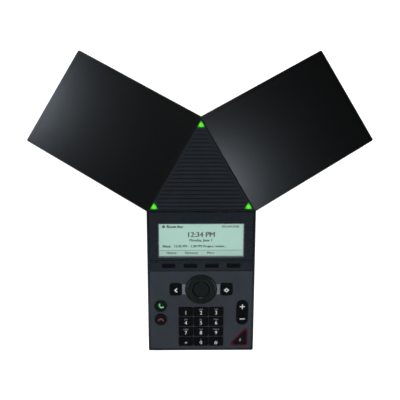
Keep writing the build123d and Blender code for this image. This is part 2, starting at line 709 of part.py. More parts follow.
with BuildPart() as display_lens:
    with BuildSketch(panel(1.45)):
        panel_rect(WINDOW_HALF + 0.75, WINDOW_START - 0.75, WINDOW_END + 0.75)
    extrude(amount=1.1)
save(display_lens, "display_lens")

with BuildPart() as lcd_panel:
    with BuildSketch(panel(4.4)):
        panel_rect(42.0, 9.6, 46.2)
    extrude(amount=1.8)
save(lcd_panel, "lcd_panel")

with BuildPart() as lcd_backlight:
    with BuildSketch(panel(7.2)):
        panel_rect(43.2, 8.4, 46.9)
    extrude(amount=3.6)
    with BuildSketch(panel(4.5)):
        panel_rect(42.3, 9.3, 46.5)
    extrude(amount=3, mode=Mode.SUBTRACT)
save(lcd_backlight, "lcd_backlight")

# ---------------------------------------------------------------- face plates of the keys
with BuildPart() as softkey_panel:
    with BuildSketch(panel(SEAT_DEPTH)):
        panel_rect(PANEL_HALF, 47.9, 58.1)
        with Locations(*[(x, -SOFT_S) for x in SOFT_X]):
            RectangleRounded(SOFT_SIZE[0] + 2 * CAP_GAP, SOFT_SIZE[1] + 2 * CAP_GAP, 1.2, mode=Mode.SUBTRACT)
    extrude(amount=SEAT_DEPTH - FACE_DEPTH)
    with BuildSketch(panel(FACE_DEPTH + 0.4)):
        panel_rect(PANEL_HALF + 1, 49.4, 49.8)
    extrude(amount=2, mode=Mode.SUBTRACT)
save(softkey_panel, "softkey_panel")

with BuildPart() as keypad_panel:
    with BuildSketch(panel(SEAT_DEPTH)):
        panel_rect(PANEL_HALF, 58.6, PANEL_END)
        with Locations(*[(x, -s) for x in DIAL_X for s in DIAL_S]):
            RectangleRounded(DIAL_SIZE[0] + 2 * CAP_GAP, DIAL_SIZE[1] + 2 * CAP_GAP, 1.0, mode=Mode.SUBTRACT)
        with Locations((0, -NAV_S)):
            Circle(NAV_HOLE, mode=Mode.SUBTRACT)
        with Locations((-SIDE_KEY_X, -SIDE_KEY_S), (SIDE_KEY_X, -SIDE_KEY_S)):
            RectangleRounded(SIDE_KEY_SIZE[0] + 2 * CAP_GAP, SIDE_KEY_SIZE[1] + 2 * CAP_GAP, 2.5,
                             mode=Mode.SUBTRACT)
        with Locations((CALL_X, -CALL_S), (CALL_X, -HANGUP_S)):
            Circle(CALL_RADIUS + CAP_GAP, mode=Mode.SUBTRACT)
        with Locations((VOLUME_X, -VOLUME_S)):
            RectangleRounded(VOLUME_SIZE[0] + 0.8, VOLUME_SIZE[1] + 0.9, 5.3, mode=Mode.SUBTRACT)
        mute_outline(MUTE_RING, MUTE_RADIUS - 0.5, mode=Mode.SUBTRACT)
    extrude(amount=SEAT_DEPTH - FACE_DEPTH)
    # pockets of the two trim bars and of the mute light ring
    with BuildSketch(panel(1.4)):
        with Locations((0, -NAV_S)):
            Rectangle(35.4, 10.2)
            Circle(14.9, mode=Mode.SUBTRACT)
        mute_outline(-0.1, MUTE_RADIUS + 0.1)
    extrude(amount=3, mode=Mode.SUBTRACT)
    # posts that the keypad board is screwed to
    with BuildSketch(panel(MAT_END)):
        with Locations(*[(x, -s) for x, s in BOARD_POSTS]):
            Circle(2.2)
    extrude(amount=MAT_END - SEAT_DEPTH)
    with BuildSketch(panel(MAT_END)):
        with Locations(*[(x, -s) for x, s in BOARD_POSTS]):
            Circle(1.05)
    extrude(amount=3.2, mode=Mode.SUBTRACT)
save(keypad_panel, "keypad_panel")

with BuildPart() as nav_trim_bars:
    with BuildSketch(panel(1.35)):
        with Locations((0, -NAV_S)):
            Rectangle(35.2, 10.0)
            Circle(15.0, mode=Mode.SUBTRACT)
    extrude(amount=1.25)
save(nav_trim_bars, "nav_trim_bars")

with BuildPart() as mute_light_ring:
    with BuildSketch(panel(1.35)):
        mute_outline(0.0, MUTE_RADIUS)
        mute_outline(MUTE_RING, MUTE_RADIUS - 0.5, mode=Mode.SUBTRACT)
    extrude(amount=1.3)
save(mute_light_ring, "mute_light_ring")


# ---------------------------------------------------------------- keys
def top_face(builder):
    """Face that stands furthest out of the control panel."""
    return builder.faces().sort_by(Axis(panel(0).origin, panel(0).z_dir))[-1]


def press_key(name, x, s, size, radius, flange, proud=CAP_PROUD):
    """Rectangular key cap with a flange under the face plate and a stem on the mat."""
    width, height = size
    with BuildPart() as key:
        with BuildSketch(panel(FLANGE_TOP)):
            with Locations((x, -s)):
                RectangleRounded(width, height, radius)
        extrude(amount=FLANGE_TOP + proud)
        fillet(top_face(key).edges(), CAP_FILLET)
        with BuildSketch(panel(FLANGE_END)):
            with Locations((x, -s)):
                Rectangle(width + 2 * flange, height + 2 * flange)
        extrude(amount=FLANGE_END - FLANGE_TOP)
        with BuildSketch(panel(STEM_END)):
            with Locations((x, -s)):
                Circle(min(width, height) * 0.3)
        extrude(amount=STEM_END - FLANGE_END)
    save(key, name)


def round_key(name, x, s, radius, flange=0.6):
    """Round key cap with a flange and a stem."""
    with BuildPart() as key:
        with BuildSketch(panel(FLANGE_TOP)):
            with Locations((x, -s)):
                Circle(radius)
        extrude(amount=FLANGE_TOP + CAP_PROUD)
        fillet(top_face(key).edges(), CAP_FILLET)
        with BuildSketch(panel(FLANGE_END)):
            with Locations((x, -s)):
                Circle(radius + flange)
        extrude(amount=FLANGE_END - FLANGE_TOP)
        with BuildSketch(panel(STEM_END)):
            with Locations((x, -s)):
                Circle(STEM_RADIUS)
        extrude(amount=STEM_END - FLANGE_END)
    save(key, name)


DIAL_NAMES = (("key_1", "key_2", "key_3"), ("key_4", "key_5", "key_6"),
              ("key_7", "key_8", "key_9"), ("key_star", "key_0", "key_hash"))
for row, s in zip(DIAL_NAMES, DIAL_S):
    for name, x in zip(row, DIAL_X):
        press_key(name, x, s, DIAL_SIZE, 0.8, flange=0.4)
for i, x in enumerate(SOFT_X):
    press_key(f"softkey_{i + 1}", x, SOFT_S, SOFT_SIZE, 0.9, proud=SOFT_PROUD, flange=0.6)
press_key("back_key", -SIDE_KEY_X, SIDE_KEY_S, SIDE_KEY_SIZE, 2.2, flange=0.7)
press_key("home_key", SIDE_KEY_X, SIDE_KEY_S, SIDE_KEY_SIZE, 2.2, flange=0.7)
round_key("call_key", CALL_X, CALL_S, CALL_RADIUS)
round_key("hangup_key", CALL_X, HANGUP_S, CALL_RADIUS)

with BuildPart() as mute_key:
    with BuildSketch(panel(FLANGE_TOP)):
        mute_outline(MUTE_RING + CAP_GAP, MUTE_RADIUS - 0.7)
    extrude(amount=FLANGE_TOP + CAP_PROUD)
    fillet(top_face(mute_key).edges(), CAP_FILLET)
    with BuildSketch(panel(FLANGE_END)):
        mute_outline(MUTE_RING - 0.4, MUTE_RADIUS - 0.4)
    extrude(amount=FLANGE_END - FLANGE_TOP)
    with BuildSketch(panel(STEM_END)):
        with Locations((37.0, -128.0)):
            Circle(STEM_RADIUS)
    extrude(amount=STEM_END - FLANGE_END)
save(mute_key, "mute_key")


def cross_plane(x, s, depth):
    """Plane at right angles to X through a point of the control panel."""
    origin = panel(depth).from_local_coords(Vector(x, -s, 0))
    return Plane(origin=origin, x_dir=panel(0).y_dir, z_dir=(1, 0, 0))


def uphill_plane(x, s, depth):
    """Plane at right angles to the slope through a point of the control panel."""
    origin = panel(depth).from_local_coords(Vector(x, -s, 0))
    return Plane(origin=origin, x_dir=(1, 0, 0), z_dir=panel(0).y_dir)


# the rocker rolls on a half-round ridge across its middle
with BuildPart() as volume_rocker:
    with BuildSketch(panel(VOLUME_FLANGE_TOP)):
        with Locations((VOLUME_X, -VOLUME_S)):
            RectangleRounded(*VOLUME_SIZE, 4.95)
    extrude(amount=VOLUME_FLANGE_TOP + CAP_PROUD)
    fillet(top_face(volume_rocker).edges(), 0.5)
    with BuildSketch(panel(VOLUME_FLANGE_END)):
        with Locations((VOLUME_X, -VOLUME_S)):
            RectangleRounded(VOLUME_SIZE[0] + 1.4, VOLUME_SIZE[1] + 1.8, 5.5)
    extrude(amount=VOLUME_FLANGE_END - VOLUME_FLANGE_TOP)
    with BuildSketch(cross_plane(VOLUME_X, VOLUME_S, VOLUME_FLANGE_END)):
        Circle(RIDGE_RADIUS)
    extrude(amount=4.0, both=True)
save(volume_rocker, "volume_rocker")

NAV_AXIS = Axis(panel(0).from_local_coords(Vector(0, -NAV_S, 0)), panel(0).z_dir)


def nav_profile(points):
    """Solid of revolution about the axis of the navigation ring, radius and depth pairs."""
    frame = Plane(origin=NAV_AXIS.position, x_dir=(1, 0, 0), z_dir=-panel(0).y_dir)
    with BuildPart() as ring:
        with BuildSketch(frame):
            Polygon(*[(r, -depth) for r, depth in points], align=None)
        revolve(axis=NAV_AXIS, revolution_arc=360)
    return ring.part


# ring with a hollow underside, and two ribs that rest on the washer's upper ridges
with BuildPart() as nav_ring:
    inner = NAV_INNER + NAV_WALL
    outer = NAV_RADIUS - NAV_WALL
    add(nav_profile([(NAV_INNER, STEM_END), (NAV_INNER, -0.5), (8.3, -0.8), (9.6, -0.9), (13.3, -1.3),
                     (13.8, -1.2), (NAV_RADIUS, -0.8), (NAV_RADIUS, NAV_FLANGE_TOP), (NAV_FLANGE, NAV_FLANGE_TOP),
                     (NAV_FLANGE, STEM_END), (outer, STEM_END), (outer, NAV_ROOF), (inner, NAV_ROOF),
                     (inner, STEM_END)]))
    rib_end = PIVOT_TOP - RIDGE_RADIUS - 0.3
    with BuildSketch(panel(rib_end)):
        with Locations((-(inner + outer) / 2, -NAV_S), ((inner + outer) / 2, -NAV_S)):
            Rectangle(outer - inner + 0.8, 2 * RIDGE_RADIUS)
    extrude(amount=rib_end - NAV_ROOF + 0.2)
save(nav_ring, "nav_ring")

with BuildPart() as nav_pivot_ring:
    add(nav_profile([(PIVOT_INNER, PIVOT_END), (PIVOT_INNER, PIVOT_TOP), (PIVOT_OUTER, PIVOT_TOP),
                     (PIVOT_OUTER, PIVOT_END)]))
    with BuildSketch(cross_plane(0, NAV_S, PIVOT_TOP)):
        Circle(RIDGE_RADIUS)
    extrude(amount=PIVOT_OUTER, both=True)
    with BuildSketch(uphill_plane(0, NAV_S, PIVOT_END)):
        Circle(RIDGE_RADIUS)
    extrude(amount=PIVOT_OUTER, both=True)
    with BuildSketch(panel(MAT_END)):
        with Locations((0, -NAV_S)):
            Circle(PIVOT_INNER)
    extrude(amount=MAT_END, mode=Mode.SUBTRACT)
save(nav_pivot_ring, "nav_pivot_ring")

with BuildPart() as select_key:
    add(nav_profile([(0, STEM_END), (0, -0.7), (4.0, -0.8), (6.6, -1.0), (7.1, -0.95), (SELECT_RADIUS, -0.6),
                     (SELECT_RADIUS, 4.0), (7.0, STEM_END)]))
save(select_key, "select_key")

# ---------------------------------------------------------------- key mat, keypad board, ribbon
with BuildPart() as keypad_membrane:
    with BuildSketch(panel(MAT_END)):
        panel_rect(44.0, 49.5, 134.3)
        with Locations(*[(x, -s) for x, s in BOARD_POSTS]):
            Circle(2.5, mode=Mode.SUBTRACT)
        with Locations((-41.0, -76.9), (41.0, -76.9)):
            Rectangle(20.0, 11.0, mode=Mode.SUBTRACT)
    extrude(amount=MAT_END - MAT_TOP)
save(keypad_membrane, "keypad_membrane")

with BuildPart() as keypad_pcb:
    with BuildSketch(panel(BOARD_END)):
        panel_rect(44.0, 48.0, 134.3)
        with Locations(*[(x, -s) for x, s in BOARD_POSTS]):
            Circle(1.2, mode=Mode.SUBTRACT)
        with Locations((-41.0, -76.9), (41.0, -76.9)):
            Rectangle(20.0, 11.0, mode=Mode.SUBTRACT)
    extrude(amount=BOARD_END - MAT_END)
    with BuildSketch(panel(BOARD_END)):
        with Locations((0, -74.0)):
            Rectangle(18.0, 4.5)
        with Locations((-14, -96.0), (14, -96.0)):
            Rectangle(7.0, 7.0)
    extrude(amount=-1.8)
save(keypad_pcb, "keypad_pcb")

# flat ribbon between the keypad board and the main board, seen from the side
ribbon_end = panel(BOARD_END + 1.9).from_local_coords(Vector(0, -74.0, 0))
with BuildPart() as ribbon_cable:
    with BuildSketch(Plane.YZ.offset(-6.0)):
        with BuildLine() as ribbon_path:
            Spline((HUB_Y - 80.0, BOARD_TOP + 2.5), (HUB_Y - 88.0, 24.0), (ribbon_end.Y, ribbon_end.Z),
                   tangents=((0, 1), (-sin(THETA), cos(THETA))))
        trace(ribbon_path.line, line_width=0.3)
    extrude(amount=12.0)
save(ribbon_cable, "ribbon_cable")
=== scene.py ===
import json
from math import cos, radians, sin

import bmesh
import bpy
import numpy as np
from mathutils import Matrix, Vector


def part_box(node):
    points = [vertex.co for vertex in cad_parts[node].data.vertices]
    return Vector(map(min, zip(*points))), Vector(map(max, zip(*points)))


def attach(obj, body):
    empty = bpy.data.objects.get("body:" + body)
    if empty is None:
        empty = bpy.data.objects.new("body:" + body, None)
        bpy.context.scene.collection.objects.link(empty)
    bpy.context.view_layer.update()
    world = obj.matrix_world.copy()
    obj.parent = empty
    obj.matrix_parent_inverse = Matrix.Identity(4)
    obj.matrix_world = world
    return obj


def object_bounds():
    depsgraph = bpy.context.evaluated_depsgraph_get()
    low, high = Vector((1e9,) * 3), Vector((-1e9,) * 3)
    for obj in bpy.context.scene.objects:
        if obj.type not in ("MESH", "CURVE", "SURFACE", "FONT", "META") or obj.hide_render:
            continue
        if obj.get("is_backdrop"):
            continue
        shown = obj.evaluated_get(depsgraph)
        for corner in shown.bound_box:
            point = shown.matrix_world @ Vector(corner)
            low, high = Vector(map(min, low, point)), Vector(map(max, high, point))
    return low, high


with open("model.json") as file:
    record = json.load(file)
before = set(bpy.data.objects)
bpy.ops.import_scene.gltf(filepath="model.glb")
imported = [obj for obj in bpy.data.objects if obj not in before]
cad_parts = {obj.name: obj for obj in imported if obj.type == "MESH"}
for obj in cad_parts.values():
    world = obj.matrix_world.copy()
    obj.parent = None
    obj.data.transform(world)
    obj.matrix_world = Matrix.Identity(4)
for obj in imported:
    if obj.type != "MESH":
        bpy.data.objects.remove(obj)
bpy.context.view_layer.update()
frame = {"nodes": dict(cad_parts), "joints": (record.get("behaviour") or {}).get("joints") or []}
NODES = frame["nodes"]
MM = 0.001

# ------------------------------------------------------------------ the sloping control panel
PRESS = next(j for j in frame["joints"] if j["name"] == "key_5_press")
NORMAL = Vector(PRESS["axis"]).normalized()
ACROSS = Vector((1, 0, 0))
UPHILL = NORMAL.cross(ACROSS)


def panel_extent(node):
    """Lowest and highest values of a node's vertices across, uphill and out of the panel."""
    mesh = NODES[node].data
    co = np.empty(len(mesh.vertices) * 3)
    mesh.vertices.foreach_get("co", co)
    local = co.reshape(-1, 3) @ np.array([ACROSS, UPHILL, NORMAL]).T
    return local.min(0), local.max(0)


def panel_point(across, uphill, out):
    """A point given across, uphill and out of the panel."""
    return ACROSS * across + UPHILL * uphill + NORMAL * out


def top_of(node):
    """Middle of the node's top on the panel."""
    low, high = panel_extent(node)
    return (low[0] + high[0]) / 2, (low[1] + high[1]) / 2, high[2]


# ------------------------------------------------------------------ materials
def new_material(name):
    """An empty node material with its output and a Principled shader."""
    material = bpy.data.materials.new(name)
    material.use_nodes = True
    tree = material.node_tree
    return material, tree, tree.nodes["Principled BSDF"]


def texture(tree, kind, scale, **inputs):
    """A texture node in object space, metres."""
    node = tree.nodes.new(kind)
    coords = tree.nodes.get("Texture Coordinate") or tree.nodes.new("ShaderNodeTexCoord")
    tree.links.new(coords.outputs["Object"], node.inputs["Vector"])
    node.inputs["Scale"].default_value = scale
    for key, value in inputs.items():
        node.inputs[key].default_value = value
    return node


def ramp(tree, source, stops):
    """A colour ramp on a socket; stops are position and colour pairs."""
    node = tree.nodes.new("ShaderNodeValToRGB")
    elements = node.color_ramp.elements
    while len(elements) < len(stops):
        elements.new(0.5)
    for element, (position, colour) in zip(elements, stops):
        element.position = position
        element.color = (*colour, 1.0)
    tree.links.new(source, node.inputs["Fac"])
    return node.outputs["Color"]


def spread(tree, source, low, high):
    """Maps a 0 to 1 socket onto low to high."""
    node = tree.nodes.new("ShaderNodeMapRange")
    node.inputs["To Min"].default_value = low
    node.inputs["To Max"].default_value = high
    tree.links.new(source, node.inputs["Value"])
    return node.outputs["Result"]


def bump(tree, shader, source, strength, distance):
    """Bumps the shader's normal with a height socket."""
    node = tree.nodes.new("ShaderNodeBump")
    node.inputs["Strength"].default_value = strength
    node.inputs["Distance"].default_value = distance
    tree.links.new(source, node.inputs["Height"])
    tree.links.new(node.outputs["Normal"], shader.inputs["Normal"])


def moulded(name, colour, roughness, grain=2600.0, depth=0.35, specular=0.5, variation=0.12, uneven=0.04):
    """Moulded plastic: fine spark-eroded grain, faint mottling and slightly uneven gloss."""
    material, tree, shader = new_material(name)
    mottle = texture(tree, "ShaderNodeTexNoise", 60.0, Detail=5.0, Roughness=0.6)
    darker = [c * (1 - variation) for c in colour]
    lighter = [c * (1 + variation) for c in colour]
    mottled = ramp(tree, mottle.outputs["Fac"], [(0.3, darker), (0.7, lighter)])
    tree.links.new(mottled, shader.inputs["Base Color"])
    smudge = texture(tree, "ShaderNodeTexNoise", 22.0, Detail=6.0, Roughness=0.65)
    gloss = spread(tree, smudge.outputs["Fac"], roughness - uneven, roughness + uneven)
    tree.links.new(gloss, shader.inputs["Roughness"])
    pits = texture(tree, "ShaderNodeTexNoise", grain, Detail=3.0, Roughness=0.55)
    bump(tree, shader, pits.outputs["Fac"], depth, 0.00006)
    shader.inputs["Specular IOR Level"].default_value = specular
    return material


def metal(name, colour, roughness, brushed=False):
    """Plated or painted metal with fine streaks or mottling."""
    material, tree, shader = new_material(name)
    streaks = texture(tree, "ShaderNodeTexNoise", 900.0 if brushed else 300.0, Detail=4.0)
    if brushed:
        stretch = tree.nodes.new("ShaderNodeMapping")
        stretch.inputs["Scale"].default_value = (1.0, 0.06, 1.0)
        coords = tree.nodes["Texture Coordinate"]
        tree.links.new(coords.outputs["Object"], stretch.inputs["Vector"])
        tree.links.new(stretch.outputs["Vector"], streaks.inputs["Vector"])
    darker = [c * 0.86 for c in colour]
    streaked = ramp(tree, streaks.outputs["Fac"], [(0.3, darker), (0.7, colour)])
    tree.links.new(streaked, shader.inputs["Base Color"])
    gloss = spread(tree, streaks.outputs["Fac"], roughness - 0.07, roughness + 0.08)
    tree.links.new(gloss, shader.inputs["Roughness"])
    shader.inputs["Metallic"].default_value = 1.0
    bump(tree, shader, streaks.outputs["Fac"], 0.12, 0.00003)
    return material


def glowing(name, colour, strength, core, specular=0.3):
    """Translucent lit plastic, a little brighter in its clouded core."""
    material, tree, shader = new_material(name)
    cloud = texture(tree, "ShaderNodeTexNoise", 420.0, Detail=2.0)
    lit = ramp(tree, cloud.outputs["Fac"], [(0.35, colour), (0.7, core)])
    tree.links.new(lit, shader.inputs["Emission Color"])
    tree.links.new(lit, shader.inputs["Base Color"])
    shader.inputs["Emission Strength"].default_value = strength
    shader.inputs["Roughness"].default_value = 0.3
    shader.inputs["Specular IOR Level"].default_value = specular
    fine = texture(tree, "ShaderNodeTexNoise", 3000.0, Detail=2.0)
    bump(tree, shader, fine.outputs["Fac"], 0.1, 0.00003)
    return material


def distance_from(tree, centre, reach):
    """0 at a point of the object, 1 at reach from it and beyond."""
    coords = tree.nodes.new("ShaderNodeTexCoord")
    offset = tree.nodes.new("ShaderNodeVectorMath")
    offset.operation = "DISTANCE"
    offset.inputs[1].default_value = centre
    tree.links.new(coords.outputs["Object"], offset.inputs[0])
    fade = tree.nodes.new("ShaderNodeMapRange")
    fade.inputs["From Max"].default_value = reach
    tree.links.new(offset.outputs["Value"], fade.inputs["Value"])
    return fade.outputs["Result"]


def backlit(name, centre, colour):
    """Black key cap with a little light leaking around its sign."""
    material = moulded(name, (0.0006, 0.0010, 0.0011), 0.32, grain=2600.0, depth=0.05, specular=0.08)
    tree = material.node_tree
    shader = tree.nodes["Principled BSDF"]
    dark = [c * 0.1 for c in colour]
    glow = ramp(tree, distance_from(tree, centre, 6.0 * MM), [(0.25, colour), (1.0, dark)])
    tree.links.new(glow, shader.inputs["Emission Color"])
    shader.inputs["Emission Strength"].default_value = 1.0
    return material


def indicator(name, centre):
    """Lit light pipe: yellow-green over the diode, deeper green toward its rim."""
    material, tree, shader = new_material(name)
    greens = [(0.1, (0.20, 0.88, 0.06)), (0.45, (0.06, 0.80, 0.008)), (1.0, (0.002, 0.16, 0.001))]
    lit = ramp(tree, distance_from(tree, centre, 3.6 * MM), greens)
    tree.links.new(lit, shader.inputs["Emission Color"])
    shader.inputs["Emission Strength"].default_value = 0.95
    shader.inputs["Base Color"].default_value = (0.003, 0.03, 0.002, 1)
    fine = texture(tree, "ShaderNodeTexNoise", 2400.0, Detail=2.0)
    tree.links.new(spread(tree, fine.outputs["Fac"], 0.22, 0.34), shader.inputs["Roughness"])
    return material


def circuit_board(name):
    """Green solder mask with copper traces and pads showing through."""
    material, tree, shader = new_material(name)
    traces = texture(tree, "ShaderNodeTexBrick", 190.0)
    traces.inputs["Mortar Size"].default_value = 0.035
    traces.inputs["Color1"].default_value = (0.006, 0.075, 0.022, 1)
    traces.inputs["Color2"].default_value = (0.008, 0.095, 0.028, 1)
    traces.inputs["Mortar"].default_value = (0.03, 0.19, 0.05, 1)
    tree.links.new(traces.outputs["Color"], shader.inputs["Base Color"])
    dots = texture(tree, "ShaderNodeTexVoronoi", 420.0)
    tree.links.new(spread(tree, dots.outputs["Distance"], 0.28, 0.5), shader.inputs["Roughness"])
    bump(tree, shader, traces.outputs["Fac"], 0.3, 0.00004)
    return material


def lens(name):
    """Thin clear plastic: mostly see-through, faintly tinted, with a soft gloss."""
    material, tree, shader = new_material(name)
    haze = texture(tree, "ShaderNodeTexNoise", 35.0, Detail=4.0)
    tint = ramp(tree, haze.outputs["Fac"], [(0.3, (0.55, 0.62, 0.6)), (0.7, (0.62, 0.68, 0.66))])
    tree.links.new(tint, shader.inputs["Base Color"])
    tree.links.new(spread(tree, haze.outputs["Fac"], 0.1, 0.16), shader.inputs["Roughness"])
    shader.inputs["Alpha"].default_value = 0.06
    shader.inputs["Specular IOR Level"].default_value = 0.2
    return material


def liquid_crystal(name, level=1.0):
    """Backlit reflective display: pale mint with a fine dot grid."""
    material, tree, shader = new_material(name)
    dots = texture(tree, "ShaderNodeTexBrick", 1650.0)
    dots.offset = 0.0
    dots.inputs["Mortar Size"].default_value = 0.05
    dots.inputs["Brick Width"].default_value = 0.5
    dots.inputs["Row Height"].default_value = 0.5
    dots.inputs["Color1"].default_value = (0.290, 0.530, 0.440, 1)
    dots.inputs["Color2"].default_value = (0.300, 0.545, 0.455, 1)
    dots.inputs["Mortar"].default_value = (0.330, 0.580, 0.490, 1)
    tree.links.new(dots.outputs["Color"], shader.inputs["Emission Color"])
    shader.inputs["Emission Strength"].default_value = 0.68 * level
    shader.inputs["Base Color"].default_value = (0.05, 0.08, 0.07, 1)
    glare = texture(tree, "ShaderNodeTexNoise", 30.0, Detail=3.0)
    tree.links.new(spread(tree, glare.outputs["Fac"], 0.3, 0.4), shader.inputs["Roughness"])
    return material


def label_paper(name):
    """Blank silver label: film with a faint metallic sheen."""
    material, tree, shader = new_material(name)
    film = texture(tree, "ShaderNodeTexNoise", 700.0, Detail=4.0)
    tree.links.new(ramp(tree, film.outputs["Fac"], [(0.3, (0.38, 0.39, 0.40)), (0.7, (0.47, 0.48, 0.49))]),
                   shader.inputs["Base Color"])
    tree.links.new(spread(tree, film.outputs["Fac"], 0.38, 0.5), shader.inputs["Roughness"])
    shader.inputs["Metallic"].default_value = 0.4
    return material


SHELL = moulded("satin_shell", (0.0005, 0.0006, 0.0006), 0.205, grain=2400.0, depth=0.02, specular=0.42,
                uneven=0.01)
UNDER = moulded("textured_underside", (0.0045, 0.0048, 0.0054), 0.55, grain=1500.0, depth=0.6)
GRILLE = moulded("grille_plastic", (0.0066, 0.0086, 0.0115), 0.30, grain=2600.0, depth=0.05, specular=0.2)
BEZEL = moulded("display_surround", (0.0030, 0.0048, 0.0072), 0.28, grain=3000.0, depth=0.04, specular=0.2)
FACE = moulded("keypad_face", (0.0130, 0.0163, 0.0210), 0.44, grain=2000.0, depth=0.12, specular=0.12)
KEYS = moulded("key_rubber", (0.0006, 0.0010, 0.0011), 0.32, grain=2600.0, depth=0.05, specular=0.05)
NAV = moulded("nav_plastic", (0.0018, 0.0034, 0.0030), 0.25, grain=3000.0, depth=0.04, specular=0.2)
SELECT = moulded("select_plastic", (0.0018, 0.0034, 0.0030), 0.34, grain=3000.0, depth=0.04, specular=0.1)
# Pale grey bars between the back and home keys and the nav ring, lighter than the dark keys and panel around
# them.
PALE_NAV_BARS = moulded("trim_bars", (0.060, 0.066, 0.072), 0.30, grain=3000.0, depth=0.08, specular=0.3)
RUBBER = moulded("foot_rubber", (0.012, 0.012, 0.013), 0.8, grain=1200.0, depth=0.7)
SILICONE = moulded("mat_silicone", (0.20, 0.21, 0.22), 0.6, grain=1600.0, depth=0.3)
WHITE = moulded("diffuser_white", (0.72, 0.72, 0.70), 0.5, grain=2000.0, depth=0.2)
CONE = moulded("cone_pulp", (0.030, 0.030, 0.032), 0.85, grain=900.0, depth=0.9)
RIBBON = moulded("ribbon_film", (0.62, 0.62, 0.60), 0.35, grain=2000.0, depth=0.1)
MUTE_RED = glowing("mute_red", (0.020, 0.0010, 0.005), 0.7, (0.030, 0.0020, 0.007), specular=0.08)
INK = moulded("white_print", (0.33, 0.345, 0.36), 0.6, grain=2600.0, depth=0.2)
DIM_INK = moulded("dim_print", (0.11, 0.12, 0.13), 0.6, grain=2600.0, depth=0.2)
GREEN_INK = glowing("call_green", (0.030, 0.17, 0.035), 0.75, (0.11, 0.24, 0.12), specular=0.1)
RED_INK = glowing("hangup_red", (0.040, 0.010, 0.014), 0.9, (0.055, 0.030, 0.034), specular=0.1)
LCD_INK = moulded("display_segments", (0.0010, 0.0120, 0.0080), 0.5, grain=2600.0, depth=0.1, specular=0.1)
STEEL = metal("plated_steel", (0.62, 0.62, 0.63), 0.32, brushed=True)
BLACK_STEEL = metal("black_steel", (0.035, 0.035, 0.037), 0.45)
MAGNET = metal("ferrite", (0.11, 0.11, 0.115), 0.6)
CAPSULE = metal("capsule_aluminium", (0.72, 0.72, 0.73), 0.3)
BOARD = circuit_board("circuit_board")
LENS = lens("display_window")
LCD = liquid_crystal("liquid_crystal")
LCD_BAND = liquid_crystal("liquid_crystal_band", 0.82)
LABEL = label_paper("rating_label_film")

LOOKS = {
    "upper_housing": SHELL, "lower_housing": UNDER, "rubber_feet": RUBBER, "rating_label": LABEL,
    "housing_screws": BLACK_STEEL, "pcb_screws": BLACK_STEEL, "speaker_grille": GRILLE,
    "led_boards": BOARD,
    "speaker_enclosure": UNDER, "speaker_basket": BLACK_STEEL, "speaker_magnet": MAGNET,
    "speaker_cone": CONE, "dust_cap": CONE, "speaker_surround": RUBBER, "speaker_gasket": RUBBER,
    "mic_boots": RUBBER, "mic_capsules": CAPSULE, "main_pcb": BOARD, "shield_cans": STEEL,
    "ethernet_jack": STEEL, "usb_port": STEEL, "display_bezel": BEZEL, "display_lens": LENS,
    "lcd_panel": LCD, "lcd_backlight": WHITE, "softkey_panel": BEZEL, "keypad_panel": FACE,
    "nav_trim_bars": PALE_NAV_BARS, "mute_light_ring": MUTE_RED, "keypad_membrane": SILICONE,
    "keypad_pcb": BOARD, "ribbon_cable": RIBBON, "nav_pivot_ring": STEEL, "nav_ring": NAV,
    "select_key": SELECT,
}
for node in ("led_window_rear", "led_window_left", "led_window_right"):
    low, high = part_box(node)
    base = Vector(((low.x + high.x) / 2, low.y + (high.y - low.y) / 3, high.z))
    LOOKS[node] = indicator(node + "_green", base)
for node, colour in (("call_key", (0.0, 0.0085, 0.0006)), ("hangup_key", (0.0030, 0.0004, 0.0022)),
                     ("mute_key", (0.0040, 0.0004, 0.0012))):
    low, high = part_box(node)
    LOOKS[node] = backlit(node + "_cap", (low + high) / 2 + Vector((0, 0, 3.0 * MM)), colour)
for node, obj in NODES.items():
    obj.data.materials.clear()
    obj.data.materials.append(LOOKS.get(node, KEYS))


# ------------------------------------------------------------------ printed marks
def place(mesh, name, point, material, body):
    """Puts a flat mesh, drawn in metres in its own XY, on the panel at a point."""
    rows = Matrix((ACROSS, UPHILL, NORMAL)).transposed()
    mesh.transform(Matrix.Translation(point) @ rows.to_4x4())
    obj = bpy.data.objects.new(name, mesh)
    bpy.context.scene.collection.objects.link(obj)
    mesh.materials.clear()
    mesh.materials.append(material)
    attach(obj, body)
    return obj


def letters(name, text, size, point, material, body, align="CENTER", weight=0.0):
    """Raised print: a line of text with capitals size metres high, made bold by copies weight apart."""
    curve = bpy.data.curves.new(name, "FONT")
    curve.body = text
    curve.size = size / 0.7
    curve.align_x = align
    curve.align_y = "CENTER"
    curve.extrude = 0.03 * MM
    holder = bpy.data.objects.new(name + "_text", curve)
    mesh = bpy.data.meshes.new_from_object(holder)
    bpy.data.objects.remove(holder)
    if weight:
        double(mesh, weight)
    return place(mesh, name, point, material, body)


def double(mesh, weight):
    """Adds a copy of a flat mesh on each side of it, for bold print."""
    plan = bmesh.new()
    plan.from_mesh(mesh)
    original = plan.verts[:] + plan.edges[:] + plan.faces[:]
    for shift in (-weight, weight):
        copy = bmesh.ops.duplicate(plan, geom=original)
        moved = [v for v in copy["geom"] if isinstance(v, bmesh.types.BMVert)]
        bmesh.ops.translate(plan, verts=moved, vec=(shift, shift * 0.4, 0.0))
    plan.to_mesh(mesh)
    plan.free()


def outline_mesh(name, loops, thickness=0.06 * MM):
    """A thin plate from closed loops of XY points, extruded along Z."""
    curve = bpy.data.curves.new(name, "CURVE")
    curve.dimensions = "2D"
    curve.fill_mode = "BOTH"
    curve.extrude = thickness / 2
    for points in loops:
        spline = curve.splines.new("POLY")
        spline.points.add(len(points) - 1)
        for target, (x, y) in zip(spline.points, points):
            target.co = (x, y, 0, 1)
        spline.use_cyclic_u = True
    holder = bpy.data.objects.new(name + "_outline", curve)
    mesh = bpy.data.meshes.new_from_object(holder)
    bpy.data.objects.remove(holder)
    return mesh


